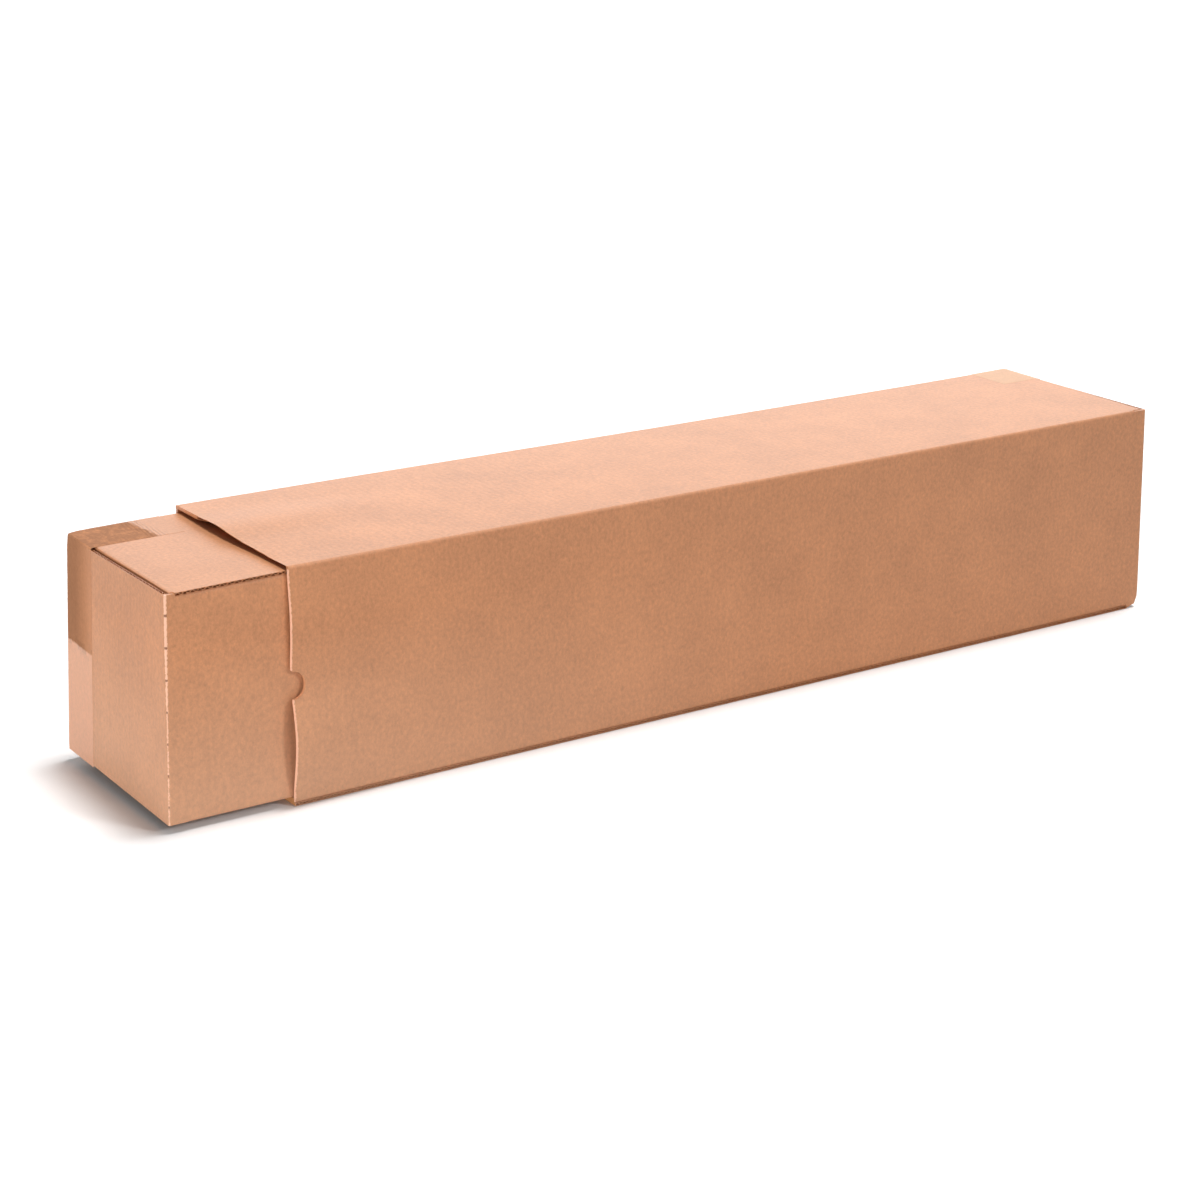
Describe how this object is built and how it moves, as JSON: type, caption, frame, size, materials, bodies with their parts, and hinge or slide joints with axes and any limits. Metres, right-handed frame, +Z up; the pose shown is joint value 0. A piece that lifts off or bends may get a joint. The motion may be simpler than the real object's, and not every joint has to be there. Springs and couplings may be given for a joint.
{
  "type": "telescoping square cardboard mailing tube",
  "caption": "Long square mailing tube of corrugated card: an inner tube slides out of an outer sleeve with a thumb notch, both shut at one end by taped flaps.",
  "frame": {"origin": "centre of the overall box at floor level, with the inner tube pulled out as far as the picture shows", "axes": "+X along the tube, towards the sleeve's shut end, so the inner tube comes out towards -X; -Y is the front, with the thumb notch; +Z is up"},
  "size_m": [1.1302, 0.219, 0.2176],
  "materials": {
    "kraft_board": "natural brown kraft liner, matt",
    "packing_tape": "clear glossy packing tape"
  },
  "bodies": {
    "sleeve": {"outer_sleeve": "kraft_board", "outer_tape": "packing_tape"},
    "inner": {"inner_tube": "kraft_board", "inner_tape": "packing_tape"}
  },
  "joints": [
    {"name": "inner_slide", "type": "slide", "parent": "sleeve", "child": "inner", "axis": [-1, 0, 0], "range_m": [-0.114, 0.9]}
  ]
}
